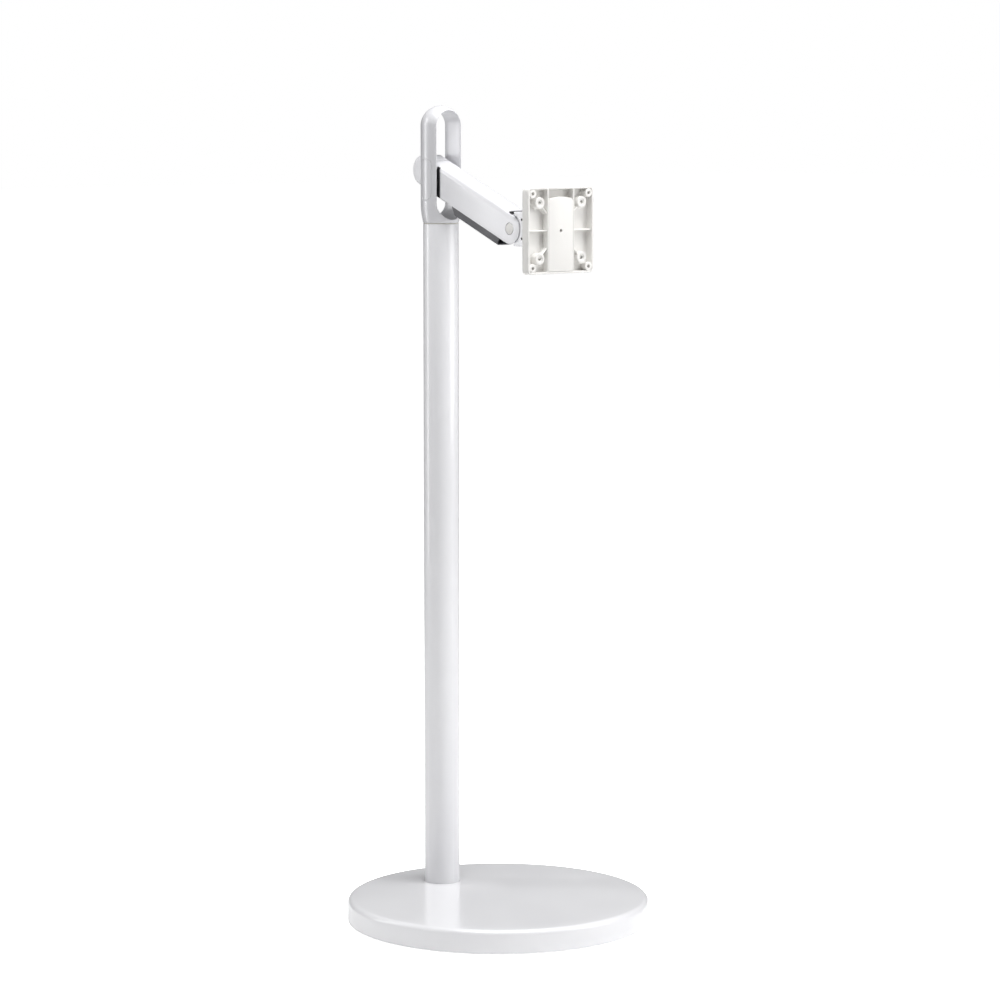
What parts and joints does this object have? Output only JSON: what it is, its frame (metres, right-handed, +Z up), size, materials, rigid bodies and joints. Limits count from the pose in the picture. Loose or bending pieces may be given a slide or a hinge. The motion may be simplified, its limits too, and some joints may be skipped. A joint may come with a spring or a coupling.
{
  "type": "floor-standing display pole",
  "caption": "Round weighted base with an offset column, a swivelling slotted yoke and a short lifting arm that carries a tilting, turning square display mounting plate.",
  "frame": {"origin": "on the floor under the centre of the round base", "axes": "+Z up along the column, -Y the front, where the arm and the mounting plate point, +X to the right seen from the back"},
  "size_m": [0.424, 0.424, 1.1395],
  "materials": {
    "painted_steel": "satin light-grey white powder coat",
    "painted_casting": "aluminium casting, satin light-grey white paint",
    "white_abs": "moulded ABS, warm white, satin",
    "black_nylon": "black glass-filled nylon and blackened screws, matte",
    "zinc_steel": "bright zinc-plated steel",
    "natural_nylon": "unpigmented acetal, satin",
    "graphite_abs": "moulded ABS, graphite grey, satin",
    "cast_iron_weight": "raw cast plate, dark",
    "foot_rubber": "moulded rubber, matte"
  },
  "bodies": {
    "base": {"base_cover": "painted_steel", "base_weight": "cast_iron_weight", "base_spacer": "white_abs", "foot_pad_1": "foot_rubber", "foot_pad_2": "foot_rubber", "foot_pad_3": "foot_rubber", "foot_pad_4": "foot_rubber", "foot_pad_5": "foot_rubber", "foot_pad_6": "foot_rubber", "column_tube": "painted_steel", "column_foot": "zinc_steel", "column_bolt_1": "zinc_steel", "column_bolt_2": "zinc_steel", "column_bolt_3": "zinc_steel", "swivel_bush_upper": "natural_nylon", "swivel_bush_lower": "natural_nylon", "swivel_grub_screw": "zinc_steel"},
    "head": {"yoke": "painted_casting", "spigot_clip": "zinc_steel", "pivot_lid_left": "painted_casting", "pivot_lid_right": "painted_casting", "pivot_screw_left": "zinc_steel", "pivot_screw_right": "zinc_steel", "pivot_axle": "zinc_steel", "friction_washer_left": "black_nylon", "friction_washer_right": "black_nylon"},
    "arm": {"arm_skin": "painted_casting", "skin_end_seal": "black_nylon", "arm_rear_block": "painted_casting", "axle_bush_left": "natural_nylon", "axle_bush_right": "natural_nylon", "rear_collar": "black_nylon", "skin_screw": "zinc_steel", "lift_spring": "zinc_steel", "spring_guide": "zinc_steel", "spring_seat": "zinc_steel", "spring_adjuster": "zinc_steel", "cable_cover": "graphite_abs", "front_pin": "zinc_steel", "pin_cap_left": "white_abs", "pin_cap_right": "white_abs", "tilt_washer_left": "black_nylon", "tilt_washer_right": "black_nylon"},
    "wrist": {"wrist_knuckle": "painted_casting", "tilt_bush": "natural_nylon", "pan_pin": "zinc_steel", "knuckle_screw_left_upper": "black_nylon", "knuckle_screw_left_lower": "black_nylon", "knuckle_screw_right_upper": "black_nylon", "knuckle_screw_right_lower": "black_nylon"},
    "pan": {"pan_hub": "painted_casting", "turn_friction_ring": "black_nylon", "spindle_washer": "zinc_steel", "spindle_screw": "black_nylon"},
    "plate": {"mounting_plate": "white_abs", "centre_cover": "white_abs"}
  },
  "joints": [
    {"name": "head_swivel", "type": "hinge", "parent": "base", "child": "head", "pos_m": [0, 0.1245, 0.976], "axis": [0, 0, 1], "range_deg": [-90, 90]},
    {"name": "arm_lift", "type": "hinge", "parent": "head", "child": "arm", "pos_m": [0, 0.1245, 1.0415], "axis": [-1, 0, 0], "range_deg": [-18, 57]},
    {"name": "wrist_tilt", "type": "hinge", "parent": "arm", "child": "wrist", "pos_m": [0, -0.04517, 0.97295], "axis": [-1, 0, 0], "range_deg": [-57, 18]},
    {"name": "wrist_pan", "type": "hinge", "parent": "wrist", "child": "pan", "pos_m": [0, -0.09717, 0.97295], "axis": [0, 0, 1], "range_deg": [-45, 45]},
    {"name": "plate_turn", "type": "hinge", "parent": "pan", "child": "plate", "pos_m": [0, -0.13148, 0.97295], "axis": [0, -1, 0], "range_deg": [-90, 90]}
  ]
}
